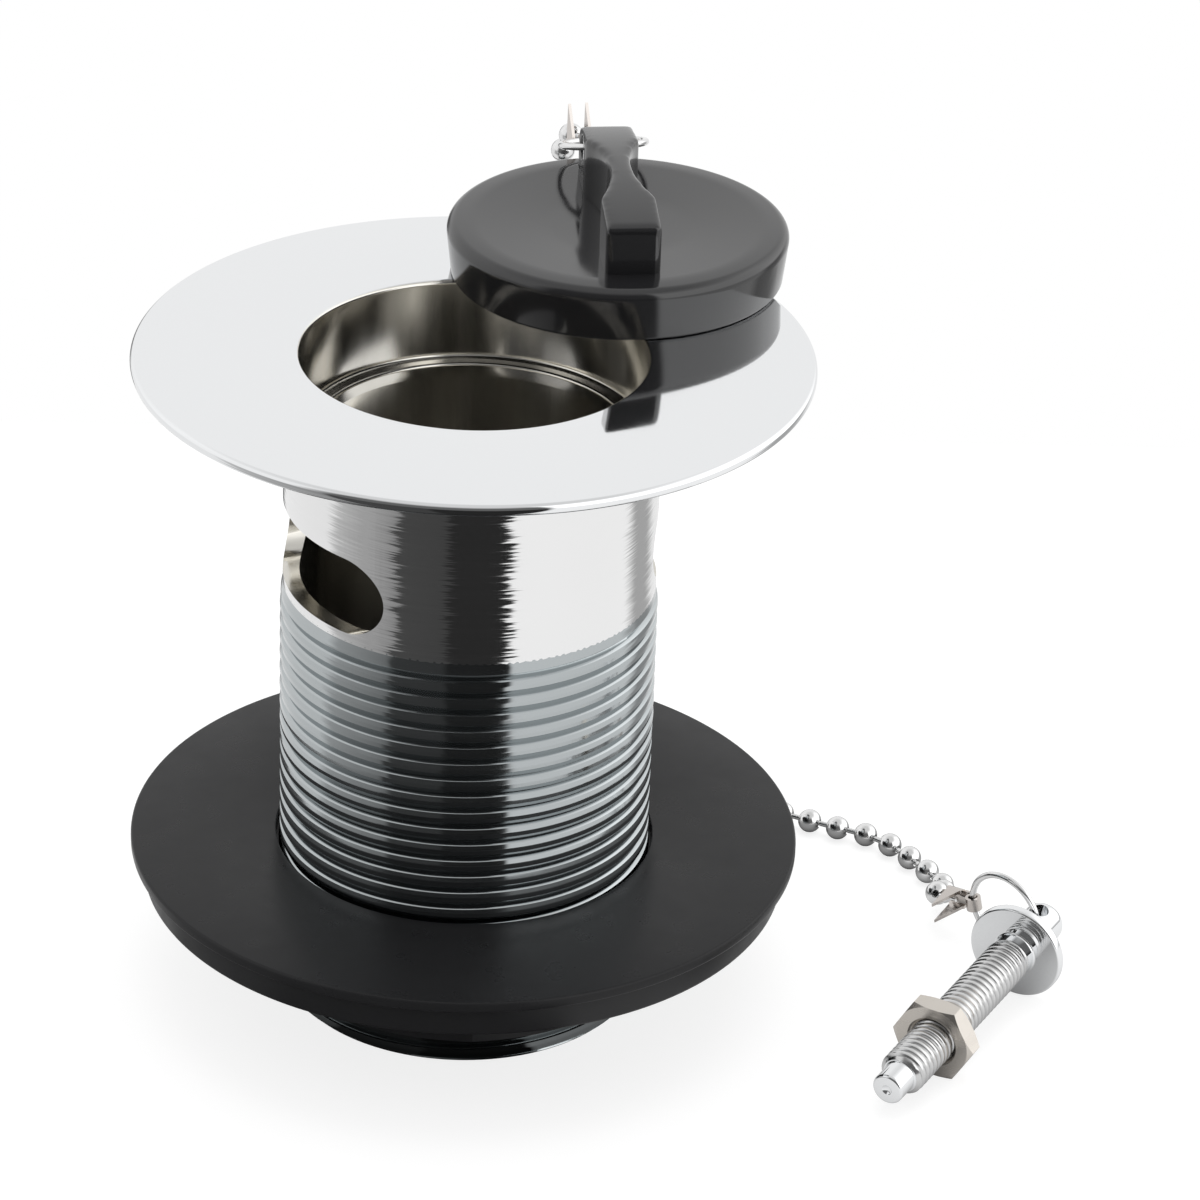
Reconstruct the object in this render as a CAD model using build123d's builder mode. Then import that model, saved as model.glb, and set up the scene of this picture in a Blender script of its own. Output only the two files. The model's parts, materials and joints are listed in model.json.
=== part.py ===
from build123d import *
import os
from math import atan2, cos, degrees, radians, sin, sqrt, tan

# Sink waste with plug and chain: a flanged and slotted tail with its washer and back nut,
# a plug lying on the flange, and a ball chain that hangs behind it and runs to a chain stay.
# Millimetres, +Z up, origin at the centre of the tail's lower end, overflow slots along X.

os.makedirs("parts", exist_ok=True)

# Waste body
overall_height = 88.9
flange_d = 84.8
flange_thickness = 1.5
seat_d = 43.2
seat_depth = 10.7
seat_ledge = 2.0
ledge_thickness = 1.8
mouth_edge = 0.6
seat_wall = 1.95
bore_wall = 2.1
thread_proud = 0.35
thread_top = 57.9
thread_run_out = 0.8
slot_height = 10.2
slot_width = 29.5
slot_over_thread = 1.0

# Washer and back nut
washer_overhang = 0.6
washer_thickness = 1.5
washer_clearance = 0.4
nut_bottom = 5.7
nut_across_flats = 54.0
nut_hex_height = 9.8
nut_hex_chamfer = 1.0
nut_flange_inset = 1.6
nut_flange_thickness = 4.3
nut_thread_clearance = 0.1
nut_turn = -22

# Plug, lying on the flange, with its handle moulded on
plug_inset = 11.3
plug_bearing = 29.8
plug_turn = -19.4
plug_seat_clearance = 0.4
plug_taper = 0.8
plug_height = 7.3
plug_edge = 0.7
plug_rim_width = 2.6
plug_rim_fall = 0.4
plug_dish_depth = 1.3
plug_dish_slope = 1.6
handle_length = 33.0
handle_width = 7.0
handle_height = 7.7
handle_end_height = 6.0
handle_round = 1.4
handle_waist = 2.8
scoop_length = 18.0
eye_d = 2.8
eye_reach = 13.2
eye_above_plug = 4.3

# Rings and chain
ring_d = 11.9
ring_wire = 0.9
ring_play = 0.15
ring_sides = 16
wire_flat = 0.29
plug_ring_droop = 17
stay_ring_heading = 112
ball_d = 3.2
ball_edge = 0.94
chain_pitch = 4.2
link_d = 0.7
link_gap = 0.16
floor_clearance = 0.05
bend_share = 0.45
chain_turn_out = 3.2
chain_turn_drop = 2.4

# End clips, folded from sheet round the ring, with claws in front of the last ball
clip_sheet = 0.4
clip_play = 0.2
curl_sides = 8
clip_neck_width = 1.8
clip_neck_length = 1.8
clip_trough_length = 2.6
clip_trough_width = 2.0
claw_shoulder = 0.8
claw_height = 3.8
claw_tip = 0.5
plug_clip_swing = -15
stay_clip_swing = -10

# Chain stay and its nut, lying on the surface
stay_beside_flange = 22.3
stay_forward = 33.8
stay_heading = 213.2
stay_collar_d = 13.0
stay_collar_thickness = 1.5
stay_shank_d = 6.0
stay_shank_length = 31.5
stay_point_d = 4.2
stay_point_length = 3.5
stay_post_d = 5.6
stay_post_length = 8.0
stay_dome = 1.2
stay_hole_d = 2.6
stay_hole_reach = 5.2
stay_nut_across_flats = 10.0
stay_nut_thickness = 2.6
stay_nut_chamfer = 0.5
stay_nut_reach = 22.0
stay_nut_clearance = 0.05

# Sizes that follow from the ones above
flange_r = flange_d / 2
seat_r = seat_d / 2
ledge_r = seat_r - seat_ledge
tail_r = seat_r + seat_wall
bore_r = tail_r - bore_wall
thread_r = tail_r + thread_proud
seat_floor = overall_height - seat_depth
slot_middle = thread_top + slot_over_thread + slot_height / 2
nut_flange_bottom = nut_bottom + nut_hex_height
nut_top = nut_flange_bottom + nut_flange_thickness
washer_r = flange_r + washer_overhang
nut_bore_r = thread_r + nut_thread_clearance

# Flanged tail: one revolved wall with the plug's seat and its ledge in the mouth, and two overflow slots
with BuildPart() as waste_body:
    with BuildSketch(Plane.XZ):
        with BuildLine():
            Polyline(
                (bore_r, 0),
                (thread_r, 0),
                (thread_r, thread_top - thread_run_out),
                (tail_r, thread_top),
                (tail_r, overall_height - flange_thickness),
                (flange_r, overall_height - flange_thickness),
                (flange_r, overall_height),
                (seat_r + mouth_edge, overall_height),
                (seat_r, overall_height - mouth_edge),
                (seat_r, seat_floor),
                (ledge_r, seat_floor),
                (ledge_r, seat_floor - ledge_thickness),
                (bore_r, seat_floor - ledge_thickness),
                close=True,
            )
        make_face()
    revolve(axis=Axis.Z)
    with BuildSketch(Plane.YZ):
        with Locations((0, slot_middle)):
            SlotOverall(slot_width, slot_height)
    extrude(amount=2 * tail_r, both=True, mode=Mode.SUBTRACT)

# Sealing washer, lying on the back nut
with BuildPart() as sealing_washer:
    with BuildSketch(Plane.XY.offset(nut_top)):
        Circle(washer_r)
        Circle(thread_r + washer_clearance, mode=Mode.SUBTRACT)
    extrude(amount=washer_thickness)

# Back nut: a hexagon under a wide clamping flange
with BuildPart() as back_nut:
    with BuildSketch(Plane.XY.offset(nut_bottom)):
        RegularPolygon(nut_across_flats / 2, 6, major_radius=False, rotation=nut_turn)
    extrude(amount=nut_hex_height)
    chamfer(back_nut.faces().sort_by(Axis.Z)[0].edges(), nut_hex_chamfer)
    with BuildSketch(Plane.XY.offset(nut_flange_bottom)):
        Circle(washer_r - nut_flange_inset)
    extrude(amount=nut_flange_thickness)
    with BuildSketch(Plane.XY.offset(nut_bottom)):
        Circle(nut_bore_r)
    extrude(amount=nut_top - nut_bottom, mode=Mode.SUBTRACT)

# The plug's own frame: local -Y is the handle's near end, local +Y the end where the chain leaves
plug_reach = flange_r - plug_inset
plug_frame = Plane(
    origin=(plug_reach * cos(radians(plug_bearing)), plug_reach * sin(radians(plug_bearing)), overall_height),
    x_dir=(cos(radians(plug_turn)), sin(radians(plug_turn)), 0),
    z_dir=(0, 0, 1),
)
plug_end_view = Plane(plug_frame.origin, x_dir=plug_frame.x_dir, z_dir=-plug_frame.y_dir)
plug_side_view = Plane(plug_frame.origin, x_dir=plug_frame.y_dir, z_dir=plug_frame.x_dir)
plug_side_r = seat_r - plug_seat_clearance
plug_r = plug_side_r + plug_taper
rim_r = plug_r - plug_edge
dish_r = rim_r - plug_rim_width
dish_floor = plug_height - plug_dish_depth
handle_top = plug_height + handle_height
handle_end = plug_height + handle_end_height
scoop_depth = (handle_width - handle_waist) / 2
scoop_r = (scoop_depth**2 + (scoop_length / 2) ** 2) / (2 * scoop_depth)
eye_z = plug_height + eye_above_plug

# Plug: tapered side and dished top, then the arched handle, waisted in plan, with its eye at the far end
with BuildPart() as plug:
    with BuildSketch(plug_end_view):
        with BuildLine():
            Polyline(
                (0, 0),
                (plug_side_r, 0),
                (plug_r, plug_height - plug_rim_fall - plug_edge),
                (rim_r, plug_height - plug_rim_fall),
                (dish_r, plug_height),
                (dish_r - plug_dish_slope, dish_floor),
                (0, dish_floor),
                close=True,
            )
        make_face()
    revolve(axis=Axis(plug_frame.origin, (0, 0, 1)))
    with BuildSketch(plug_side_view) as handle_side:
        with BuildLine():
            ThreePointArc(
                (-handle_length / 2, handle_end),
                (0, handle_top),
                (handle_length / 2, handle_end),
            )
            Polyline(
                (handle_length / 2, handle_end),
                (handle_length / 2, dish_floor),
                (-handle_length / 2, dish_floor),
                (-handle_length / 2, handle_end),
            )
        make_face()
        fillet(handle_side.vertices().group_by(Axis.Y)[-1], handle_round)
    extrude(amount=handle_width / 2, both=True)
    with BuildSketch(plug_frame.offset(plug_height)):
        with Locations((handle_waist / 2 + scoop_r, 0), (-handle_waist / 2 - scoop_r, 0)):
            Circle(scoop_r)
    extrude(amount=handle_height, mode=Mode.SUBTRACT)
    with BuildSketch(plug_side_view):
        with Locations((eye_reach, eye_z)):
            Circle(eye_d / 2)
    extrude(amount=handle_width, both=True, mode=Mode.SUBTRACT)

# Chain stay: domed post with a cross hole, collar, shank and dog point, turned in one piece.
# It lies on its collar and its nut, so its axis falls a little towards the point.
stay_drop = (stay_collar_d - stay_nut_across_flats) / 2
stay_span = stay_nut_reach + stay_nut_thickness - stay_nut_chamfer - stay_collar_thickness
stay_tilt = degrees(atan2(stay_drop, stay_span))
stay_level = Vector(cos(radians(stay_heading)), sin(radians(stay_heading)), 0)
stay_side = Vector(0, 0, 1).cross(stay_level)
stay_axis = stay_level.rotate(Axis((0, 0, 0), stay_side), stay_tilt)
stay_lift = stay_collar_d / 2 * cos(radians(stay_tilt)) + stay_collar_thickness * sin(radians(stay_tilt))
stay_origin = Vector(flange_r + stay_beside_flange, -stay_forward, stay_lift + floor_clearance)
stay_section = Plane(stay_origin, x_dir=stay_axis, z_dir=-stay_side)
stay_up = stay_section.y_dir
stay_hole_place = stay_origin - stay_axis * stay_hole_reach
shank_end = stay_collar_thickness + stay_shank_length
shank_r = stay_shank_d / 2
point_r = stay_point_d / 2
post_r = stay_post_d / 2

with BuildPart() as chain_stay:
    with BuildSketch(stay_section):
        with BuildLine():
            Polyline(
                (-stay_post_length, 0),
                (-stay_post_length, post_r - stay_dome),
                (-stay_post_length + stay_dome, post_r),
                (0, post_r),
                (0, stay_collar_d / 2),
                (stay_collar_thickness, stay_collar_d / 2),
                (stay_collar_thickness, shank_r),
                (shank_end, shank_r),
                (shank_end, point_r),
                (shank_end + stay_point_length, point_r),
                (shank_end + stay_point_length, 0),
                close=True,
            )
        make_face()
    revolve(axis=Axis(stay_origin, stay_axis))
    with BuildSketch(Plane(stay_hole_place, x_dir=stay_axis, z_dir=stay_up)):
        Circle(stay_hole_d / 2)
    extrude(amount=stay_post_d, both=True, mode=Mode.SUBTRACT)

# Hexagon nut on the shank, one flat down
with BuildPart() as stay_nut:
    nut_face = Plane(stay_origin + stay_axis * stay_nut_reach, x_dir=stay_side, z_dir=stay_axis)
    with BuildSketch(nut_face):
        RegularPolygon(stay_nut_across_flats / 2, 6, major_radius=False)
    extrude(amount=stay_nut_thickness)
    chamfer(stay_nut.faces().filter_by(nut_face).edges(), stay_nut_chamfer)
    with BuildSketch(nut_face):
        Circle(shank_r + stay_nut_clearance)
    extrude(amount=stay_nut_thickness, mode=Mode.SUBTRACT)

# Wire rings: one through the plug's eye, one through the stay's cross hole
ring_r = (ring_d - ring_wire) / 2


def ring_plane(eye, eye_diameter, eye_length, back, through):
    """Plane of a ring that hangs in an eye: origin at its centre, X from the eye to the far side."""
    bow = ring_r - sqrt(ring_r**2 - (eye_length / 2) ** 2)
    shift = (eye_diameter - ring_wire) / 2 - ring_play - bow
    return Plane(eye + back * (ring_r + shift), x_dir=back, z_dir=through.cross(back))


def ring_solid(plane):
    """One ring, its wire bent in short straight lengths."""
    half_step = 180 / ring_sides
    inner_r = ring_d / 2 - ring_wire
    with BuildPart() as ring:
        with BuildSketch(plane):
            RegularPolygon(ring_d / 2, ring_sides, major_radius=False, rotation=half_step)
            RegularPolygon(inner_r, ring_sides, major_radius=False, rotation=half_step, mode=Mode.SUBTRACT)
        extrude(amount=ring_wire / 2, both=True)
        chamfer(ring.faces().filter_by(plane).edges(), ring_wire * wire_flat)
    return ring.part


eye_place = plug_frame.from_local_coords(Vector(0, eye_reach, eye_z))
plug_ring_back = plug_frame.y_dir.rotate(Axis((0, 0, 0), plug_frame.x_dir), -plug_ring_droop)
plug_ring_plane = ring_plane(eye_place, eye_d, handle_width, plug_ring_back, plug_frame.x_dir)
stay_ring_back = Vector(cos(radians(stay_ring_heading)), sin(radians(stay_ring_heading)), 0)
stay_ring_plane = ring_plane(stay_hole_place, stay_hole_d, stay_post_d, stay_ring_back, stay_up)

with BuildPart() as plug_ring:
    add(ring_solid(plug_ring_plane))

with BuildPart() as stay_ring:
    add(ring_solid(stay_ring_plane))

# End clips: a curl round the ring, a neck, and a trough with pointed claws that ends at the last ball
curl_r = ring_wire / 2 + clip_play
trough_half = clip_trough_width / 2


def clip_plane(ring, swing):
    """Frame of a clip on a ring: origin on the wire, X away from the ring, Z the way the claws point."""
    away = ring.x_dir * cos(radians(swing)) - ring.y_dir * sin(radians(swing))
    return Plane(ring.origin + away * ring_r, x_dir=away, z_dir=ring.z_dir)


def clip_solid(frame):
    """One folded clip in its frame."""
    side_view = Plane(frame.origin, x_dir=frame.x_dir, z_dir=-frame.y_dir)
    trough_end = clip_neck_length + clip_trough_length
    trough_middle = clip_neck_length + clip_trough_length / 2
    half_step = 180 / curl_sides
    with BuildPart() as clip:
        with BuildSketch(side_view):
            with BuildLine():
                Polyline(
                    (clip_neck_length, -curl_r - clip_sheet),
                    (trough_end, -curl_r - clip_sheet),
                    (trough_end, -curl_r + claw_shoulder),
                    (trough_middle + claw_tip / 2, -curl_r + claw_height),
                    (trough_middle - claw_tip / 2, -curl_r + claw_height),
                    (clip_neck_length, -curl_r + claw_shoulder),
                    close=True,
                )
            make_face()
        extrude(amount=trough_half + clip_sheet, both=True)
        with BuildSketch(side_view):
            with Locations((trough_middle, -curl_r + claw_height)):
                Rectangle(2 * clip_trough_length, 2 * claw_height)
        extrude(amount=trough_half, both=True, mode=Mode.SUBTRACT)
        with BuildSketch(side_view):
            RegularPolygon(curl_r + clip_sheet, curl_sides, major_radius=False, rotation=half_step)
            with Locations((clip_neck_length / 2, -curl_r - clip_sheet / 2)):
                Rectangle(clip_neck_length, clip_sheet)
            RegularPolygon(curl_r, curl_sides, major_radius=False, rotation=half_step, mode=Mode.SUBTRACT)
        extrude(amount=clip_neck_width / 2, both=True)
    return clip.part


def ball_seat(frame):
    """Centre of the ball at the end of a clip."""
    place = Vector(clip_neck_length + clip_trough_length + clip_play + ball_d / 2, 0, 0)
    return frame.from_local_coords(place)


plug_clip_frame = clip_plane(plug_ring_plane, plug_clip_swing)
stay_clip_frame = clip_plane(stay_ring_plane, stay_clip_swing)

with BuildPart() as plug_clip:
    add(clip_solid(plug_clip_frame))

with BuildPart() as stay_clip:
    add(clip_solid(stay_clip_frame))

# Ball chain: straight down behind the plug and the flange, and in a slack curve along the surface
# to the stay
floor_ball = ball_d / 2 + floor_clearance
chain_start = ball_seat(plug_clip_frame)
chain_turn = chain_start + plug_clip_frame.x_dir * chain_turn_out - Vector(0, 0, chain_turn_drop)
floor_points = [
    (39.1, 43.6),
    (48.7, 35.8),
    (51.5, 22.9),
    (60.1, 11.5),
    (65.4, 5.7),
    (67.0, -2.2),
    (67.5, -10.4),
]
route_points = [
    chain_start,
    chain_turn,
    Vector(chain_turn.X, chain_turn.Y, floor_ball),
    *[Vector(x, y, floor_ball) for x, y in floor_points],
    ball_seat(stay_clip_frame),
]


def corner_radius(before, corner, after):
    """Bend at a corner of the route that uses an even share of the shorter run on each side."""
    run = min((corner - before).length, (after - corner).length)
    turn = (corner - before).get_angle(after - corner)
    return bend_share * run / tan(radians(turn / 2))


bends = [corner_radius(*route_points[i:i + 3]) for i in range(len(route_points) - 2)]
with BuildLine() as chain_route:
    FilletPolyline(*route_points, radius=bends)
chain_path = chain_route.wire()
ball_count = round(chain_path.length / chain_pitch) + 1
ball_steps = [i / (ball_count - 1) for i in range(ball_count)]
ball_places = [chain_path.location_at(step) for step in ball_steps]
print("chain", round(chain_path.length, 1), "balls", ball_count, "tightest bend", round(min(bends), 1))
print("stay axis", [round(v, 6) for v in stay_axis], "stay origin", [round(v, 3) for v in stay_origin])

# One ball, its roundness cut in facets
with BuildPart() as ball:
    Box(ball_d, ball_d, ball_d)
    chamfer(ball.edges(), ball_edge)

with BuildPart() as chain_balls:
    with Locations(*ball_places):
        add(ball.part)

# Links: short bars between neighbouring balls
with BuildPart() as chain_links:
    for first, second in zip(ball_places, ball_places[1:]):
        step = second.position - first.position
        length = step.length - ball_d - 2 * link_gap
        start = first.position + step.normalized() * (ball_d / 2 + link_gap)
        with BuildSketch(Plane(start, z_dir=step)):
            RegularPolygon(link_d / 2, 3)
        extrude(amount=length)

pieces = {
    "waste_body": waste_body,
    "sealing_washer": sealing_washer,
    "back_nut": back_nut,
    "plug": plug,
    "plug_ring": plug_ring,
    "plug_clip": plug_clip,
    "chain_balls": chain_balls,
    "chain_links": chain_links,
    "stay_clip": stay_clip,
    "stay_ring": stay_ring,
    "chain_stay": chain_stay,
    "stay_nut": stay_nut,
}
for name, piece in pieces.items():
    piece.part.label = name
    export_step(piece.part, f"parts/{name}.step")
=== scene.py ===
import json
from math import asin, cos, pi, radians, sin, tan

import bmesh
import bpy
from mathutils import Matrix, Vector


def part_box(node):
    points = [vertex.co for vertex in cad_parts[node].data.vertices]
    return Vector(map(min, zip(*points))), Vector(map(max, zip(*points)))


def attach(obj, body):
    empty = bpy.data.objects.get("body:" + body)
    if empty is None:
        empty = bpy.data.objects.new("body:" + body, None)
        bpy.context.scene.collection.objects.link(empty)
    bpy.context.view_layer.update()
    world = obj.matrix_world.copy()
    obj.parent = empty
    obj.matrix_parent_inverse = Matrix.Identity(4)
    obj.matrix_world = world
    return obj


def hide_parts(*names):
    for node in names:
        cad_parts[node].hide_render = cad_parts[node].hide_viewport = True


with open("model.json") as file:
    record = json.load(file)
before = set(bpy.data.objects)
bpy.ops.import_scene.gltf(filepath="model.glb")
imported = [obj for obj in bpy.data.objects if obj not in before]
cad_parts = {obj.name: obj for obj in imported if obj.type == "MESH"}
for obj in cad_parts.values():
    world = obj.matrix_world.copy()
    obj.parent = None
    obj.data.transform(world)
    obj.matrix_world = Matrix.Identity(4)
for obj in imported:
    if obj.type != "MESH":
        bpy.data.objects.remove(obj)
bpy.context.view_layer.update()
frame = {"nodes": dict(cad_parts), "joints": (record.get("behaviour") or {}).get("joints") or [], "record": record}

scene = bpy.context.scene
record = frame["record"]
body_of = {node: body for body, nodes in record["behaviour"]["bodies"].items() for node in nodes}
joint_axis = {joint["name"]: Vector(joint["axis"]).normalized() for joint in frame["joints"]}
MM = 0.001

# Camera, as fitted to the photograph
camera_data = bpy.data.cameras.new("camera")
camera_data.sensor_width = 36
camera_data.lens = 154.17
camera_data.clip_start = 0.01
camera = bpy.data.objects.new("camera", camera_data)
scene.collection.objects.link(camera)
camera_right = Vector((0.900606, -0.433465, 0.031407))
camera_down = Vector((-0.177055, -0.431941, -0.884316))
camera_forward = Vector((0.396898, 0.790883, -0.46577))
camera.matrix_world = Matrix.Translation((-0.24314, -0.52142, 0.35769)) @ Matrix(
    (camera_right, -camera_down, -camera_forward)
).transposed().to_4x4()
scene.camera = camera
scene.view_settings.view_transform = "Standard"


# Shapes, all in millimetres until a piece is finished

def rounded(points, segments=6):
    """A profile from (r, z) or (r, z, radius) points: each radius becomes an arc."""
    out = []
    for i, point in enumerate(points):
        corner = Vector(point[:2])
        if len(point) == 2:
            out.append(corner)
            continue
        to_last = (Vector(points[i - 1][:2]) - corner).normalized()
        to_next = (Vector(points[(i + 1) % len(points)][:2]) - corner).normalized()
        half = to_last.angle(to_next) / 2
        centre = corner + (to_last + to_next).normalized() * point[2] / sin(half)
        reach = point[2] / tan(half)
        start = corner + to_last * reach - centre
        end = corner + to_next * reach - centre
        sweep = pi - 2 * half
        for k in range(segments + 1):
            share = k / segments
            out.append(centre + (start * sin((1 - share) * sweep) + end * sin(share * sweep)) / sin(sweep))
    return out


def bridge(bm, low, high, material=0):
    """Faces between two rings of vertices; a ring of one vertex is a pole."""
    count = max(len(low), len(high))
    for i in range(count):
        corners = [
            low[i % len(low)],
            low[(i + 1) % len(low)],
            high[(i + 1) % len(high)],
            high[i % len(high)],
        ]
        corners = list(dict.fromkeys(corners))
        if len(corners) > 2:
            bm.faces.new(corners).material_index = material


def lathe(bm, profile, steps, place=Matrix(), closed=False, material=0):
    """Turns a profile of (r, z) points about Z of the given place."""
    rings = []
    for r, z in profile:
        if r < 1e-6:
            rings.append([bm.verts.new(place @ Vector((0, 0, z)))])
        else:
            angles = [2 * pi * i / steps for i in range(steps)]
            rings.append([bm.verts.new(place @ Vector((r * cos(a), r * sin(a), z))) for a in angles])
    for low, high in zip(rings, rings[1:] + (rings[:1] if closed else [])):
        bridge(bm, low, high, material)


# A thread's crest: its share of the pitch, and how much of the depth it falls away by
CREST_SHARE, CREST_FALL = 0.56, 0.14


def thread(bm, crest_r, depth, pitch, low, high, steps, rows, start_r, plain_r, run_out, place=Matrix()):
    """A right-hand thread whose rows of vertices follow the helix, chamfered below and running out above."""
    turns = (high - low) / pitch
    columns = []
    for i in range(steps):
        column = []
        for j in range(int((turns + 1) * rows) + 2):
            off_crest = abs((j / rows + 0.5) % 1 - 0.5) * 2
            groove = max((off_crest - CREST_SHARE) / (1 - CREST_SHARE), 0)
            z = low + pitch * (j / rows - 1 + i / steps)
            z = min(max(z, low), high)
            flank = groove * groove * (3 - 2 * groove)
            r = crest_r - depth * (CREST_FALL * off_crest + (1 - CREST_FALL) * flank)
            fade = min((high - z) / run_out, 1)
            r = plain_r + (r - plain_r) * fade * fade * (3 - 2 * fade)
            r = min(r, start_r + z - low)
            angle = 2 * pi * i / steps
            column.append(bm.verts.new(place @ Vector((r * cos(angle), r * sin(angle), z))))
        columns.append(column)
    for i in range(steps):
        left = columns[i]
        right = columns[i + 1] if i + 1 < steps else columns[0][rows:]
        for j in range(min(len(left), len(right)) - 1):
            bm.faces.new((left[j], right[j], right[j + 1], left[j + 1]))
    bmesh.ops.remove_doubles(bm, verts=[v for column in columns for v in column], dist=1e-4)


def hexagon_nut(bm, flats, low, high, bore_r, chamfer, steps, place=Matrix(), inner=0.4, both=True):
    """A hexagon nut with turned chamfers on its corners and a countersunk bore."""
    turned_r = flats / 2 - 0.02 * flats + chamfer
    rings = [[] for _ in range(6)]
    for i in range(steps):
        angle = 2 * pi * i / steps
        off_flat = (angle + pi / 6) % (pi / 3) - pi / 6
        r = flats / 2 / cos(off_flat)
        cut = max(r - turned_r, 0)
        drop = cut * tan(radians(30))
        heights = [(bore_r + inner, low), (min(r, turned_r), low), (r, low + drop)]
        top_cut = drop if both else 0
        heights += [(r, high - top_cut), (min(r, turned_r) if both else r, high), (bore_r + inner, high)]
        for ring, (ring_r, z) in zip(rings, heights):
            ring.append(bm.verts.new(place @ Vector((ring_r * cos(angle), ring_r * sin(angle), z))))
    bore = []
    for z in (high - inner, low + inner):
        angles = [2 * pi * i / steps for i in range(steps)]
        bore.append([bm.verts.new(place @ Vector((bore_r * cos(a), bore_r * sin(a), z))) for a in angles])
    rings += bore
    for lower, upper in zip(rings, rings[1:] + rings[:1]):
        bridge(bm, lower, upper)


def prism(bm, outline, place, low, high):
    """A straight prism over an outline of (x, y) points."""
    ends = [[bm.verts.new(place @ Vector((x, y, z))) for x, y in outline] for z in (low, high)]
    bridge(bm, *ends)
    bm.faces.new(ends[0])
    bm.faces.new(ends[1])


def to_object(name, bm, materials=()):
    """A mesh object in metres from a shape in millimetres."""
    bmesh.ops.recalc_face_normals(bm, faces=bm.faces)
    mesh = bpy.data.meshes.new(name)
    bm.to_mesh(mesh)
    bm.free()
    mesh.transform(Matrix.Scale(MM, 4))
    for material in materials:
        mesh.materials.append(material)
    obj = bpy.data.objects.new(name, mesh)
    scene.collection.objects.link(obj)
    return obj


def bake(obj):
    """Applies an object's modifiers to its mesh."""
    bpy.context.view_layer.update()
    mesh = bpy.data.meshes.new_from_object(obj.evaluated_get(bpy.context.evaluated_depsgraph_get()))
    obj.modifiers.clear()
    old = obj.data
    obj.data = mesh
    bpy.data.meshes.remove(old)


def combine(obj, tool, operation):
    """Cuts an object with a tool shape, or joins the two."""
    modifier = obj.modifiers.new("combine", "BOOLEAN")
    modifier.operation = operation
    modifier.solver = "EXACT"
    modifier.object = tool
    bake(obj)
    bpy.data.objects.remove(tool)


def finish_piece(obj, *nodes, sharp=30):
    """Shades a piece smooth and sharp by angle, puts it on the body of the first of the nodes that it stands for,
    and hides those nodes.
    """
    mesh = obj.data
    mesh.polygons.foreach_set("use_smooth", [True] * len(mesh.polygons))
    mesh.set_sharp_from_angle(angle=radians(sharp))
    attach(obj, body_of[nodes[0]])
    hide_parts(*nodes)
    return obj


def node_points(node):
    """Distinct corners of a CAD node, in millimetres, and the groups that hang together."""
    bm = bmesh.new()
    bm.from_mesh(frame["nodes"][node].data)
    bmesh.ops.remove_doubles(bm, verts=bm.verts, dist=1e-6)
    groups, seen = [], set()
    for first in bm.verts:
        if first in seen:
            continue
        group, queue = [], [first]
        seen.add(first)
        while queue:
            vert = queue.pop()
            group.append(vert.co / MM)
            for edge in vert.link_edges:
                other = edge.other_vert(vert)
                if other not in seen:
                    seen.add(other)
                    queue.append(other)
        groups.append(group)
    bm.free()
    return groups


def middle(points):
    """Mean of some points."""
    return sum(points, Vector()) / len(points)


def placed(origin, x_axis, z_axis):
    """The place with that origin, X axis and Z axis."""
    z = z_axis.normalized()
    x = (x_axis - z * x_axis.dot(z)).normalized()
    return Matrix.Translation(origin) @ Matrix((x, z.cross(x), z)).transposed().to_4x4()


# Materials

def material(name, color, metallic, roughness, **sockets):
    """A principled material with its constant values on its own sockets."""
    mat = bpy.data.materials.new(name)
    mat.use_nodes = True
    shader = mat.node_tree.nodes["Principled BSDF"]
    shader.inputs["Base Color"].default_value = (*color, 1)
    shader.inputs["Metallic"].default_value = metallic
    shader.inputs["Roughness"].default_value = roughness
    for socket, value in sockets.items():
        shader.inputs[socket.replace("_", " ")].default_value = value
    return mat


def add_noise(mat, scale, stretch, rough_range=None, bump=0, distance=0.0001, detail=3):
    """Noise in the object's own space that varies a material's roughness and its surface."""
    tree = mat.node_tree
    shader = tree.nodes["Principled BSDF"]
    coords = tree.nodes.new("ShaderNodeTexCoord")
    mapping = tree.nodes.new("ShaderNodeMapping")
    mapping.inputs["Scale"].default_value = stretch
    noise = tree.nodes.new("ShaderNodeTexNoise")
    noise.inputs["Scale"].default_value = scale
    noise.inputs["Detail"].default_value = detail
    tree.links.new(coords.outputs["Object"], mapping.inputs["Vector"])
    tree.links.new(mapping.outputs["Vector"], noise.inputs["Vector"])
    if rough_range:
        spread = tree.nodes.new("ShaderNodeMapRange")
        spread.inputs["From Min"].default_value = 0.3
        spread.inputs["From Max"].default_value = 0.7
        spread.inputs["To Min"].default_value = rough_range[0]
        spread.inputs["To Max"].default_value = rough_range[1]
        tree.links.new(noise.outputs["Fac"], spread.inputs["Value"])
        tree.links.new(spread.outputs["Result"], shader.inputs["Roughness"])
    if bump:
        bumps = tree.nodes.new("ShaderNodeBump")
        bumps.inputs["Strength"].default_value = bump
        bumps.inputs["Distance"].default_value = distance
        tree.links.new(noise.outputs["Fac"], bumps.inputs["Height"])
        tree.links.new(bumps.outputs["Normal"], shader.inputs["Normal"])
    return mat


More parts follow.
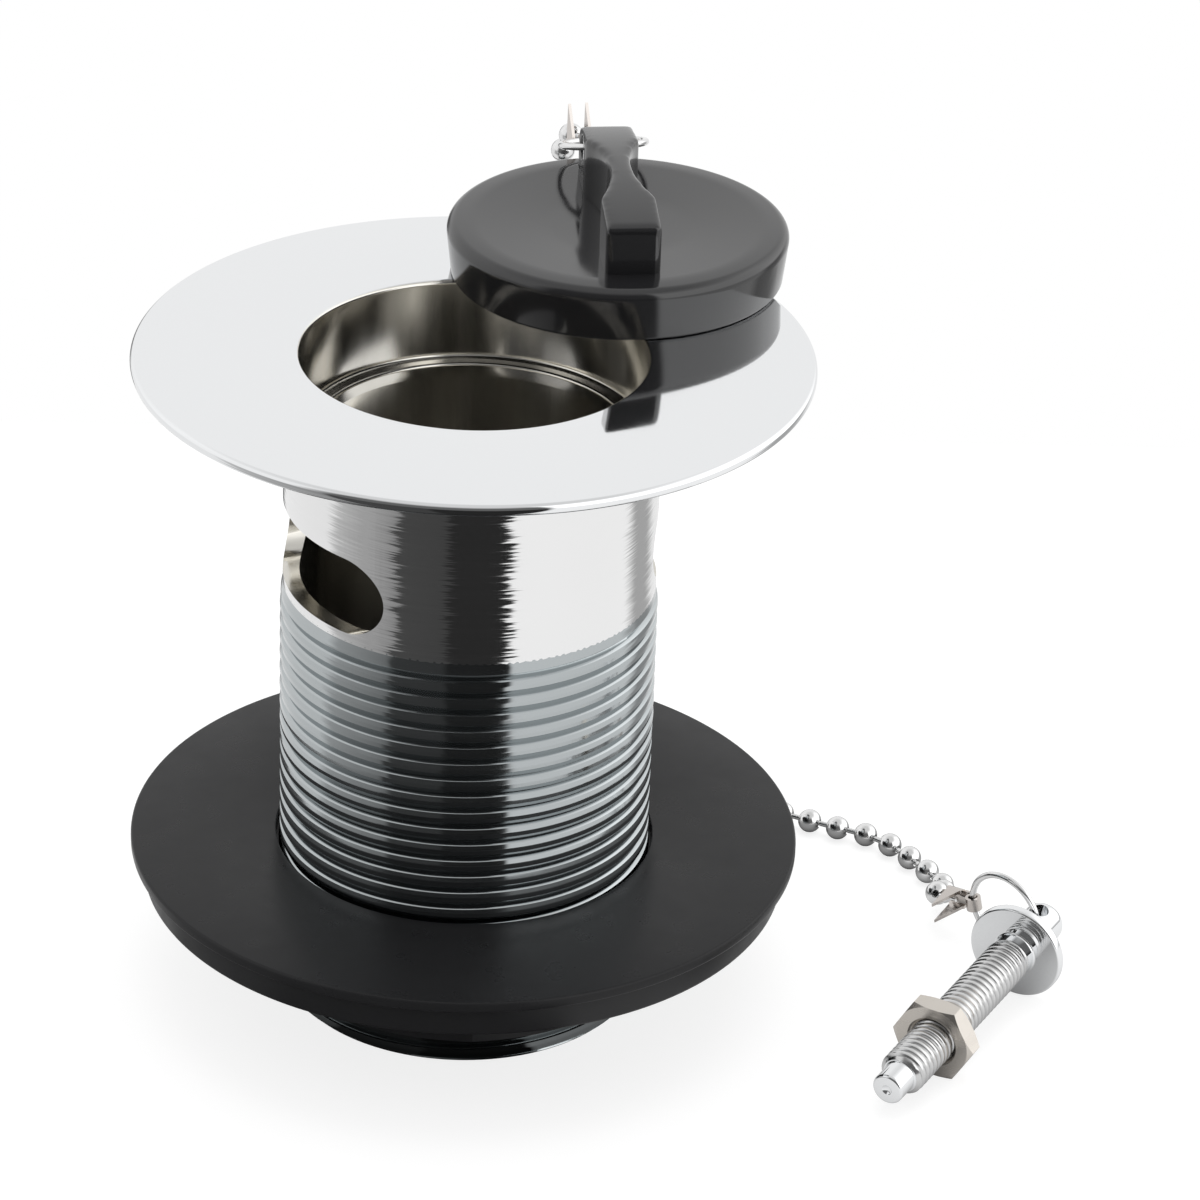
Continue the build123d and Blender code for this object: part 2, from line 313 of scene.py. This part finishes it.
def add_brushing(mat, stretch, turn):
    """Fine lines round the object's upright axis, each of which turns the surface a little to one side."""
    tree = mat.node_tree
    coords = tree.nodes.new("ShaderNodeTexCoord")
    mapping = tree.nodes.new("ShaderNodeMapping")
    mapping.inputs["Scale"].default_value = stretch
    noise = tree.nodes.new("ShaderNodeTexNoise")
    noise.inputs["Scale"].default_value = 1
    spread = tree.nodes.new("ShaderNodeMapRange")
    spread.inputs["From Min"].default_value = 0.3
    spread.inputs["From Max"].default_value = 0.7
    spread.inputs["To Min"].default_value = -turn
    spread.inputs["To Max"].default_value = turn
    geometry = tree.nodes.new("ShaderNodeNewGeometry")
    steps = []
    for operation in ("CROSS_PRODUCT", "SCALE", "ADD", "NORMALIZE"):
        steps.append(tree.nodes.new("ShaderNodeVectorMath"))
        steps[-1].operation = operation
    across, scaled, total, unit = steps
    across.inputs[0].default_value = (0, 0, 1)
    tree.links.new(coords.outputs["Object"], mapping.inputs["Vector"])
    tree.links.new(mapping.outputs["Vector"], noise.inputs["Vector"])
    tree.links.new(noise.outputs["Fac"], spread.inputs["Value"])
    tree.links.new(geometry.outputs["Normal"], across.inputs[1])
    tree.links.new(across.outputs["Vector"], scaled.inputs[0])
    tree.links.new(spread.outputs["Result"], scaled.inputs["Scale"])
    tree.links.new(scaled.outputs["Vector"], total.inputs[0])
    tree.links.new(geometry.outputs["Normal"], total.inputs[1])
    tree.links.new(total.outputs["Vector"], unit.inputs[0])
    tree.links.new(unit.outputs["Vector"], tree.nodes["Principled BSDF"].inputs["Normal"])
    return mat


chrome = add_noise(material("chrome", (0.88, 0.89, 0.9), 1, 0.05), 60, (1, 1, 1), (0.03, 0.07))
turned_chrome = add_brushing(
    add_noise(material("turned_chrome", (0.87, 0.87, 0.87), 1, 0.08), 40, (0.25, 0.25, 160), (0.05, 0.12)),
    (150, 150, 4500), 0.05,
)
# The thread's chrome is darker than the tail's chrome: painted shade for the thread's grooves.
thread_chrome_painted_shade = add_noise(material("thread_chrome_painted_shade", (0.47, 0.5, 0.51), 1, 0.1), 90, (1, 1, 4), (0.07, 0.14))
stay_chrome = add_noise(material("stay_chrome", (0.68, 0.68, 0.68), 1, 0.18), 150, (1, 1, 1), (0.14, 0.22))
nickel = add_noise(material("nickel", (0.72, 0.7, 0.65), 1, 0.16), 60, (5, 5, 0.3), (0.11, 0.2))
rubber = add_noise(
    material("rubber", (0.017, 0.017, 0.018), 0, 0.3, Specular_IOR_Level=0.2),
    260, (1, 1, 1), (0.26, 0.36), 0.05, 0.00005,
)
nut_plastic = add_noise(
    material("nut_plastic", (0.016, 0.016, 0.017), 0, 0.34, Specular_IOR_Level=0.3),
    300, (1, 1, 1), (0.3, 0.4), 0.08, 0.00005,
)
plug_plastic = add_noise(
    material("plug_plastic", (0.014, 0.014, 0.015), 0, 0.1, Specular_IOR_Level=0.75),
    120, (1, 1, 1), (0.08, 0.13), 0.03, 0.00005,
)
bright_steel = add_noise(material("bright_steel", (0.82, 0.82, 0.82), 1, 0.12), 150, (1, 1, 1), (0.08, 0.18))
bright_sheet = add_noise(material("bright_sheet", (0.6, 0.56, 0.53), 1, 0.16), 150, (1, 1, 1), (0.12, 0.22))
nickel_nut = add_noise(
    material("nickel_nut", (0.66, 0.62, 0.57), 1, 0.24), 120, (1, 1, 6), (0.18, 0.32), 0.08, 0.00003
)

# Flanged tail: turned wall with slots, and the thread round it
HEIGHT, FLANGE_R, FLANGE_T = 88.9, 42.4, 1.5
TAIL_R, THREAD_R, THREAD_TOP = 23.55, 23.9, 57.9
THREAD_PITCH, THREAD_DEPTH = 2.309, 0.95
SEAT_R, SEAT_FLOOR, LEDGE_R, LEDGE_T, BORE_R = 21.6, 78.2, 19.6, 1.8, 21.45
CORE_R = 22.2
SLOT_WIDTH, SLOT_HEIGHT, SLOT_Z = 29.5, 10.2, 64.0

bm = bmesh.new()
tail_profile = rounded([
    (BORE_R, 0),
    (CORE_R, 0),
    (CORE_R, THREAD_TOP - 0.4),
    (TAIL_R, THREAD_TOP - 0.2),
    (TAIL_R, HEIGHT - FLANGE_T, 0.5),
    (FLANGE_R, HEIGHT - FLANGE_T, 0.7),
    (FLANGE_R, HEIGHT, 0.7),
    (SEAT_R, HEIGHT, 0.55),
    (SEAT_R, SEAT_FLOOR, 0.5),
    (LEDGE_R, SEAT_FLOOR, 0.4),
    (LEDGE_R, SEAT_FLOOR - LEDGE_T),
    (BORE_R, SEAT_FLOOR - LEDGE_T),
])
lathe(bm, tail_profile, 192, closed=True)
waste = to_object("waste", bm, [chrome, turned_chrome, nickel, thread_chrome_painted_shade])
slot_r = SLOT_HEIGHT / 2
slot_half = SLOT_WIDTH / 2 - slot_r
outline = [
    (side * slot_half + slot_r * cos(a), slot_r * sin(a))
    for side, first in ((1, -pi / 2), (-1, pi / 2))
    for a in [first + pi * k / 24 for k in range(25)]
]
bm = bmesh.new()
slot_place = Matrix.Translation((0, 0, SLOT_Z)) @ Matrix(((0, 0, 1), (1, 0, 0), (0, 1, 0))).to_4x4()
prism(bm, outline, slot_place, -40, 40)
combine(waste, to_object("slot_tool", bm), "DIFFERENCE")
for face in waste.data.polygons:
    centre = face.center / MM
    radius = centre.xy.length
    facing = face.normal.dot(Vector((centre.x, centre.y, 0)).normalized())
    if centre.z > HEIGHT - FLANGE_T - 0.3 and radius > SEAT_R + 0.3:
        face.material_index = 0
    elif facing > 0.9 and radius > CORE_R - 0.3:
        face.material_index = 1
    else:
        face.material_index = 2
bm = bmesh.new()
bm.from_mesh(waste.data)
bmesh.ops.scale(bm, vec=(1 / MM,) * 3, verts=bm.verts)
first_face = len(bm.faces)
thread(bm, THREAD_R, THREAD_DEPTH, THREAD_PITCH, 0, THREAD_TOP, 144, 18, 22.8, TAIL_R, 2.6)
bm.faces.ensure_lookup_table()
for face in bm.faces[first_face:]:
    face.material_index = 3
bmesh.ops.scale(bm, vec=(MM,) * 3, verts=bm.verts)
bm.normal_update()
bm.to_mesh(waste.data)
bm.free()
finish_piece(waste, "waste_body")

# Washer and back nut
NUT_LOW, NUT_FLANGE_LOW, NUT_TOP = 5.7, 15.5, 19.8
WASHER_TOP, WASHER_R, WASHER_BORE_R = 21.3, 43.0, 24.3
bm = bmesh.new()
washer_profile = rounded([
    (WASHER_BORE_R, NUT_TOP, 0.2),
    (WASHER_R, NUT_TOP, 0.35),
    (WASHER_R, WASHER_TOP, 0.35),
    (WASHER_BORE_R, WASHER_TOP, 0.2),
], 4)
lathe(bm, washer_profile, 192, closed=True)
washer = finish_piece(to_object("washer", bm, [rubber]), "sealing_washer")

NUT_FLANGE_R, NUT_BORE_R, NUT_FLATS, NUT_TURN = 41.4, 24.0, 54.0, -22
bm = bmesh.new()
nut_profile = rounded([
    (NUT_BORE_R, NUT_FLANGE_LOW),
    (NUT_FLANGE_R, NUT_FLANGE_LOW, 0.6),
    (NUT_FLANGE_R, NUT_TOP, 0.4),
    (NUT_BORE_R, NUT_TOP),
], 4)
lathe(bm, nut_profile, 192, closed=True)
nut_place = Matrix.Rotation(radians(NUT_TURN), 4, "Z")
hexagon_nut(bm, NUT_FLATS, NUT_LOW, NUT_FLANGE_LOW + 0.5, NUT_BORE_R, 1.0, 180, nut_place, both=False)
back_nut = finish_piece(to_object("back_nut", bm, [nut_plastic]), "back_nut")

# Plug with its handle
PLUG_FOOT_R, PLUG_R, PLUG_H, RIM_FALL = 21.2, 22.0, 7.3, 0.4
DISH_R, DISH_MID_R, DISH_MID, DISH_FLOOR = 18.7, 9.0, 6.5, 6.3
PLUG_TURN = -19.4
HANDLE_L, HANDLE_W, HANDLE_TOP, HANDLE_END = 33.0, 7.0, 15.0, 13.3
WAIST, SCOOP_L, EYE_R, EYE_REACH, EYE_Z = 2.8, 18.0, 1.4, 13.2, 11.6
low, high = (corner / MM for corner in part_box("plug"))
plug_place = Matrix.Translation(((low.x + high.x) / 2, (low.y + high.y) / 2, low.z)) @ Matrix.Rotation(
    radians(PLUG_TURN), 4, "Z"
)
bm = bmesh.new()
plug_profile = rounded([
    (0, 0),
    (PLUG_FOOT_R, 0, 0.5),
    (PLUG_R, PLUG_H - RIM_FALL, 1.4),
    (DISH_R, PLUG_H - RIM_FALL / 2, 12),
    (DISH_MID_R, DISH_MID, 60),
    (0, DISH_FLOOR),
], 10)
lathe(bm, plug_profile, 160, plug_place)
plug = to_object("plug", bm, [plug_plastic])

along = plug_place @ Matrix(((0, 0, 1), (1, 0, 0), (0, 1, 0))).to_4x4()
arch_rise = HANDLE_TOP - HANDLE_END
arch_r = (arch_rise**2 + (HANDLE_L / 2) ** 2) / (2 * arch_rise)
arch_half = asin(HANDLE_L / 2 / arch_r)
arch = [arch_half * k / 12 for k in range(-12, 13)]
bm = bmesh.new()
side = [(arch_r * sin(a), HANDLE_TOP - arch_r + arch_r * cos(a)) for a in arch]
side += [(HANDLE_L / 2, DISH_FLOOR - 0.4), (-HANDLE_L / 2, DISH_FLOOR - 0.4)]
prism(bm, side, along, -HANDLE_W / 2, HANDLE_W / 2)
handle = to_object("handle", bm)
scoop_depth = (HANDLE_W - WAIST) / 2
scoop_r = (scoop_depth**2 + (SCOOP_L / 2) ** 2) / (2 * scoop_depth)
for side in (-1, 1):
    bm = bmesh.new()
    scoop_place = plug_place @ Matrix.Translation((side * (WAIST / 2 + scoop_r), 0, DISH_FLOOR - 1))
    lathe(bm, [(0, 0), (scoop_r, 0), (scoop_r, 15), (0, 15)], 192, scoop_place)
    combine(handle, to_object("scoop_tool", bm), "DIFFERENCE")
bm = bmesh.new()
eye_place = plug_place @ Matrix.Translation((0, EYE_REACH, EYE_Z)) @ Matrix.Rotation(pi / 2, 4, "Y")
lathe(bm, [(0, -8), (EYE_R, -8), (EYE_R, 8), (0, 8)], 48, eye_place)
combine(handle, to_object("eye_tool", bm), "DIFFERENCE")
remesh = handle.modifiers.new("remesh", "REMESH")
remesh.mode = "VOXEL"
remesh.voxel_size = 0.18 * MM
smooth = handle.modifiers.new("smooth", "SMOOTH")
smooth.factor = 0.5
smooth.iterations = 100
bake(handle)
handle.data.materials.append(plug_plastic)
finish_piece(plug, "plug")
finish_piece(handle, "plug", sharp=80)

# Wire rings
RING_R, WIRE_R = 5.5, 0.45


def ring_place(node):
    """Place of a ring: its centre, with Z square to it."""
    points = node_points(node)[0]
    centre = middle(points)
    first = max(points, key=lambda p: (p - centre).length) - centre
    second = max(points, key=lambda p: (p - centre).cross(first).length) - centre
    return placed(centre, first, first.cross(second))


ring_places = {}
for node in ("plug_ring", "stay_ring"):
    place = ring_places[node] = ring_place(node)
    bm = bmesh.new()
    hoops = []
    for i in range(96):
        angle = 2 * pi * i / 96
        hoop = []
        for k in range(20):
            turn = 2 * pi * k / 20
            r = RING_R + WIRE_R * cos(turn)
            hoop.append(bm.verts.new(place @ Vector((r * cos(angle), r * sin(angle), WIRE_R * sin(turn)))))
        hoops.append(hoop)
    for this, following in zip(hoops, hoops[1:] + hoops[:1]):
        bridge(bm, this, following)
    finish_piece(to_object(node, bm, [bright_steel]), node, sharp=60)

# Folded clips
SHEET, PLAY, NECK_W, NECK_L = 0.4, 0.2, 1.8, 1.8
TROUGH_L, CLAW_SHOULDER, CLAW_H = 2.6, 0.8, 5.4
CURL_R, TROUGH_R = WIRE_R + PLAY, 1.0


def sheet_grid(bm, rows):
    """One thin sheet from rows of points that are given in pairs (inside, outside)."""
    faces = []
    grid = [[(bm.verts.new(a), bm.verts.new(b)) for a, b in row] for row in rows]
    for r in range(len(grid) - 1):
        for c in range(len(grid[0]) - 1):
            quad = (grid[r][c], grid[r][c + 1], grid[r + 1][c + 1], grid[r + 1][c])
            faces.append([v[0] for v in quad])
            faces.append([v[1] for v in quad])
    for line in (grid[0], grid[-1], [row[0] for row in grid], [row[-1] for row in grid]):
        for a, b in zip(line, line[1:]):
            faces.append([a[0], b[0], b[1], a[1]])
    for face in faces:
        bm.faces.new(face)


for node, ring in (("plug_clip", "plug_ring"), ("stay_clip", "stay_ring")):
    points = node_points(node)[0]
    ring_at = ring_places[ring]
    centre, normal = ring_at.translation, ring_at.col[2].to_3d()
    tip = max(points, key=lambda p: abs((p - centre).dot(normal)))
    if (tip - centre).dot(normal) < 0:
        normal = -normal
    away = middle(points) - centre
    away = (away - normal * away.dot(normal)).normalized()
    place = placed(centre + away * RING_R, away, normal)
    bm = bmesh.new()
    rows = []
    for i in range(25):
        share = i / 24
        x = NECK_L + TROUGH_L * share
        rise = CLAW_SHOULDER + (CLAW_H - CLAW_SHOULDER) * max(1 - abs(share - 0.5) / 0.42, 0)
        row = []
        for k in range(-14, 15):
            side = (k > 0) - (k < 0)
            steps = abs(k)
            if steps <= 8:
                angle = steps / 8 * pi / 2
                inner = (side * (TROUGH_R - 0.6 + 0.6 * sin(angle)) * min(steps / 5, 1), 0.6 - 0.6 * cos(angle))
                outward = (side * sin(angle), -cos(angle))
            else:
                up = (steps - 8) / 6
                inner = (side * TROUGH_R, 0.6 + (rise - 0.6) * up)
                outward = (side, 0)
            z = inner[1] - CURL_R
            row.append((
                place @ Vector((x, inner[0], z)),
                place @ Vector((x, inner[0] + SHEET * outward[0], z + SHEET * outward[1])),
            ))
        rows.append(row)
    sheet_grid(bm, rows)
    rows = []
    for i in range(33):
        angle = radians(-90 - 300 * i / 32)
        ends = (-NECK_W / 2, NECK_W / 2)
        rows.append([
            (
                place @ Vector((CURL_R * cos(angle), y, CURL_R * sin(angle))),
                place @ Vector(((CURL_R + SHEET) * cos(angle), y, (CURL_R + SHEET) * sin(angle))),
            )
            for y in ends
        ])
    rows.insert(0, [
        (place @ Vector((NECK_L + 0.2, y, -CURL_R)), place @ Vector((NECK_L + 0.2, y, -CURL_R - SHEET)))
        for y in ends
    ])
    sheet_grid(bm, rows)
    finish_piece(to_object(node, bm, [bright_sheet]), node, sharp=40)

# Ball chain: each ball where its solid is, each link between two balls or from an end ball into its clip
BALL_R, LINK_R, BALL_HOLE_R = 1.6, 0.36, 0.55
centres = [middle(group) for group in node_points("chain_balls")]
start = middle(node_points("plug_clip")[0])
route = []
last = start
while centres:
    nearest = min(centres, key=lambda c: (c - last).length)
    centres.remove(nearest)
    route.append(nearest)
    last = nearest
bm = bmesh.new()
for i, centre in enumerate(route):
    forward = route[min(i + 1, len(route) - 1)] - route[max(i - 1, 0)]
    place = placed(centre, Vector((0.3, 0.5, 0.8)), forward)
    pole = asin(BALL_HOLE_R / BALL_R)
    profile = []
    for k in range(15):
        angle = pole + (pi - 2 * pole) * k / 14
        profile.append((BALL_R * sin(angle), -BALL_R * cos(angle)))
    depth = BALL_R * cos(pole)
    profile = [(0.3, -depth + 0.35), (BALL_HOLE_R - 0.1, -depth + 0.12), *profile]
    profile += [(BALL_HOLE_R - 0.1, depth - 0.12), (0.3, depth - 0.35)]
    lathe(bm, profile, 28, place)
finish_piece(to_object("chain_balls", bm, [bright_steel]), "chain_balls", sharp=50)
bm = bmesh.new()
end = middle(node_points("stay_clip")[0])
for first, second in zip([start, *route], [*route, end]):
    step = second - first
    place = placed(first, Vector((0.3, 0.5, 0.8)), step)
    inset = BALL_R - 0.3
    reach = step.length - inset
    lathe(bm, [(0, inset), (LINK_R, inset), (LINK_R, reach), (0, reach)], 12, place)
finish_piece(to_object("chain_links", bm, [bright_steel]), "chain_links", sharp=50)

# Chain stay and its nut
POST_L, POST_R, COLLAR_R, COLLAR_T = 8.0, 2.8, 6.5, 1.5
SHANK_R, SHANK_L, POINT_R, POINT_L = 3.0, 31.5, 2.1, 3.5
STAY_PITCH, STAY_DEPTH = 1.0, 0.55
STAY_NUT_FLATS, STAY_NUT_LOW, STAY_NUT_T, STAY_NUT_PLAY = 10.0, 22.0, 2.6, 0.05
HOLE_R, HOLE_REACH = 1.3, 5.2
axis = joint_axis["small_nut_slide"]
stay_points = node_points("chain_stay")[0]
nut_middle = middle(node_points("stay_nut")[0])
reaches = [(point - nut_middle).dot(axis) for point in stay_points]
stay_origin = nut_middle + axis * (min(reaches) + POST_L)
sideways = Vector((0, 0, 1)).cross(axis)
stay_place = placed(stay_origin, axis.cross(sideways), axis)
bm = bmesh.new()
shank_end = COLLAR_T + SHANK_L
stay_profile = rounded([
    (0, -POST_L),
    (POST_R, -POST_L, 1.6),
    (POST_R, 0, 0.4),
    (COLLAR_R, 0, 0.5),
    (COLLAR_R, COLLAR_T, 0.3),
    (SHANK_R - 0.2, COLLAR_T, 0.3),
    (SHANK_R - 0.2, COLLAR_T + 1.6),
    (SHANK_R - STAY_DEPTH - 0.1, COLLAR_T + 1.7),
    (SHANK_R - STAY_DEPTH - 0.1, shank_end),
    (POINT_R, shank_end + 0.01, 0.2),
    (POINT_R, shank_end + POINT_L, 0.4),
    (0.7, shank_end + POINT_L),
    (0, shank_end + POINT_L - 0.6),
])
lathe(bm, stay_profile, 72, stay_place)
stay = to_object("chain_stay", bm, [chrome, stay_chrome])
bm = bmesh.new()
hole_place = stay_place @ Matrix.Translation((0, 0, -HOLE_REACH)) @ Matrix.Rotation(pi / 2, 4, "Y")
lathe(bm, [(0, -6), (HOLE_R, -6), (HOLE_R, 6), (0, 6)], 40, hole_place)
combine(stay, to_object("hole_tool", bm), "DIFFERENCE")
bm = bmesh.new()
bm.from_mesh(stay.data)
bmesh.ops.scale(bm, vec=(1 / MM,) * 3, verts=bm.verts)
first_face = len(bm.faces)
flipped = stay_place @ Matrix.Translation((0, 0, shank_end)) @ Matrix.Rotation(pi, 4, "X")
thread(bm, SHANK_R, STAY_DEPTH, STAY_PITCH, 0, SHANK_L - 1.4, 48, 8, 2.35, SHANK_R - 0.2, 1.2, flipped)
bm.faces.ensure_lookup_table()
for face in bm.faces[first_face:]:
    face.material_index = 1
bmesh.ops.scale(bm, vec=(MM,) * 3, verts=bm.verts)
bm.normal_update()
bm.to_mesh(stay.data)
bm.free()
finish_piece(stay, "chain_stay", sharp=40)

bm = bmesh.new()
nut_place = stay_place @ Matrix.Rotation(pi, 4, "Z")
stay_nut_high = STAY_NUT_LOW + STAY_NUT_T
stay_nut_bore_r = SHANK_R + STAY_NUT_PLAY
hexagon_nut(bm, STAY_NUT_FLATS, STAY_NUT_LOW, stay_nut_high, stay_nut_bore_r, 0.25, 120, nut_place, 0.45)
finish_piece(to_object("stay_nut", bm, [nickel_nut]), "stay_nut", sharp=20)

# Floor: white to the eye, and it keeps a soft shadow
FLOOR_FRONT, FLOOR_BACK, FLOOR_SIDE = -0.072, 0.16, 0.16
front = Vector((-0.4226, -0.9063, 0))
right = Vector((0.9063, -0.4226, 0))
bm = bmesh.new()
corners = [
    right * x - front * y
    for x, y in (
        (-FLOOR_SIDE, FLOOR_FRONT),
        (FLOOR_SIDE, FLOOR_FRONT),
        (FLOOR_SIDE, FLOOR_BACK),
        (-FLOOR_SIDE, FLOOR_BACK),
    )
]
bm.faces.new([bm.verts.new(corner / MM) for corner in corners])
floor_material = bpy.data.materials.new("floor")
floor_material.use_nodes = True
tree = floor_material.node_tree
tree.nodes.clear()


def node(kind, **values):
    made = tree.nodes.new(kind)
    for name, value in values.items():
        setattr(made, name, value)
    return made


def dot(source, direction):
    """How far a direction or a place reaches along another direction."""
    made = node("ShaderNodeVectorMath", operation="DOT_PRODUCT")
    made.inputs[1].default_value = direction
    tree.links.new(source, made.inputs[0])
    return made.outputs["Value"]


def bearing_of(source):
    """Bearing in radians: none in front, positive to the right."""
    made = node("ShaderNodeMath", operation="ARCTAN2")
    tree.links.new(dot(source, right), made.inputs[0])
    tree.links.new(dot(source, front), made.inputs[1])
    return made.outputs[0]


def grey(value):
    """The same value for red, green and blue."""
    return (value, value, value)


def ramp(value, low, high, stops):
    """A grey or colour for a value between low and high."""
    spread = node("ShaderNodeMapRange")
    spread.inputs["From Min"].default_value = low
    spread.inputs["From Max"].default_value = high
    tree.links.new(value, spread.inputs["Value"])
    made = node("ShaderNodeValToRGB")
    elements = made.color_ramp.elements
    while len(elements) > 1:
        elements.remove(elements[-1])
    for i, (place, color) in enumerate(stops):
        element = elements[0] if i == 0 else elements.new((place - low) / (high - low))
        element.position = (place - low) / (high - low)
        element.color = (*color, 1)
    tree.links.new(spread.outputs["Result"], made.inputs["Fac"])
    return made.outputs["Color"]


# What the metal mirrors at each bearing below the horizon: white behind and to the right, grey to the left,
# dark in front
SURROUNDINGS = [
    (radians(angle), grey(value))
    for angle, value in (
        (-180, 0.92),
        (-168, 0.92),
        (-163, 0.2),
        (-156, 0.2),
        (-148, 0.9),
        (-90, 0.85),
        (-82, 0.5),
        (-48, 0.25),
        (-45, 0.06),
        (-14, 0.05),
        (-12, 0.02),
        (24, 0.02),
        (26, 0.95),
        (104, 0.95),
        (114, 0.4),
        (130, 0.4),
        (142, 0.85),
        (168, 0.92),
        (180, 0.92),
    )
]

path = node("ShaderNodeLightPath")
matt = node("ShaderNodeBsdfDiffuse")
matt.inputs["Color"].default_value = (0.3, 0.3, 0.3, 1)
glow = node("ShaderNodeEmission")
glow.inputs["Strength"].default_value = 0.8
seen = node("ShaderNodeAddShader")
paper = node("ShaderNodeBsdfDiffuse")
paper.inputs["Color"].default_value = (0.85, 0.85, 0.85, 1)
floor_tone = ramp(bearing_of(node("ShaderNodeNewGeometry").outputs["Position"]), -pi, pi, SURROUNDINGS)
# For glossy rays the floor glows with the tones of the surroundings by bearing, darkened near the parts by ambient
# occlusion: painted shade in what the metal mirrors.
painted_floor_shade = node("ShaderNodeAmbientOcclusion")
painted_floor_shade.inputs["Distance"].default_value = 0.06
mirrored = node("ShaderNodeEmission")
first_mix = node("ShaderNodeMixShader")
second_mix = node("ShaderNodeMixShader")
output = node("ShaderNodeOutputMaterial")
tree.links.new(matt.outputs[0], seen.inputs[0])
tree.links.new(glow.outputs[0], seen.inputs[1])
tree.links.new(floor_tone, painted_floor_shade.inputs["Color"])
tree.links.new(painted_floor_shade.outputs["Color"], mirrored.inputs["Color"])
tree.links.new(path.outputs["Is Glossy Ray"], first_mix.inputs[0])
tree.links.new(paper.outputs[0], first_mix.inputs[1])
tree.links.new(mirrored.outputs[0], first_mix.inputs[2])
tree.links.new(path.outputs["Is Camera Ray"], second_mix.inputs[0])
tree.links.new(first_mix.outputs[0], second_mix.inputs[1])
tree.links.new(seen.outputs[0], second_mix.inputs[2])
tree.links.new(second_mix.outputs[0], output.inputs[0])
floor = to_object("floor", bm, [floor_material])

# Surroundings: white behind and beside, dark in front, as the metal shows them, and brighter above the horizon
BRIGHTEST = 1.6
world = bpy.data.worlds.new("studio")
scene.world = world
world.use_nodes = True
tree = world.node_tree
tree.nodes.clear()


outward = node("ShaderNodeTexCoord").outputs["Generated"]
round_about = ramp(bearing_of(outward), -pi, pi, SURROUNDINGS)
height = dot(outward, (0, 0, 1))
above = ramp(bearing_of(outward), -pi, pi, [
    (radians(angle), grey(value / BRIGHTEST))
    for angle, value in (
        (-180, 0.92),
        (-160, 0.92),
        (-120, 1.0),
        (-60, 0.9),
        (-45, 0.13),
        (24, 0.13),
        (28, BRIGHTEST),
        (120, BRIGHTEST),
        (155, 0.92),
        (180, 0.92),
    )
])
above_bright = node("ShaderNodeVectorMath", operation="SCALE")
above_bright.inputs["Scale"].default_value = BRIGHTEST
tree.links.new(above, above_bright.inputs[0])
overhead = node("ShaderNodeRGB")
overhead.outputs[0].default_value = (0.7, 0.7, 0.7, 1)


def layered(factor, low, high):
    """One colour of the surroundings laid over another by a factor."""
    made = node("ShaderNodeMix", data_type="RGBA")
    tree.links.new(factor, made.inputs[0])
    tree.links.new(low, made.inputs[6])
    tree.links.new(high, made.inputs[7])
    return made.outputs[2]


skirt = layered(ramp(height, -1, 1, [(-0.05, grey(0)), (0.12, grey(1))]), round_about, above_bright.outputs[0])
around = layered(ramp(height, -1, 1, [(0.65, grey(0)), (0.92, grey(1))]), skirt, overhead.outputs[0])
path = node("ShaderNodeLightPath")
mirrored = node("ShaderNodeBackground")
tree.links.new(around, mirrored.inputs["Color"])
white = node("ShaderNodeBackground")
lamp = node("ShaderNodeBackground")
lamp.inputs["Color"].default_value = (0.8, 0.8, 0.8, 1)
first_mix = node("ShaderNodeMixShader")
second_mix = node("ShaderNodeMixShader")
either = node("ShaderNodeMath", operation="MAXIMUM")
tree.links.new(path.outputs["Is Glossy Ray"], either.inputs[0])
tree.links.new(path.outputs["Is Transmission Ray"], either.inputs[1])
tree.links.new(either.outputs[0], first_mix.inputs[0])
tree.links.new(lamp.outputs[0], first_mix.inputs[1])
tree.links.new(mirrored.outputs[0], first_mix.inputs[2])
tree.links.new(path.outputs["Is Camera Ray"], second_mix.inputs[0])
tree.links.new(first_mix.outputs[0], second_mix.inputs[1])
tree.links.new(white.outputs[0], second_mix.inputs[2])
world_output = node("ShaderNodeOutputWorld")
tree.links.new(second_mix.outputs[0], world_output.inputs["Surface"])
white.inputs["Color"].default_value = (1, 1, 1, 1)

# A large soft lamp overhead
lamp_data = bpy.data.lights.new("overhead", "AREA")
lamp_data.shape = "DISK"
lamp_data.size = 0.8
lamp_data.energy = 3
lamp_object = bpy.data.objects.new("overhead", lamp_data)
lamp_object.location = (0.1, 0.1, 0.9)
lamp_object.visible_glossy = False
scene.collection.objects.link(lamp_object)
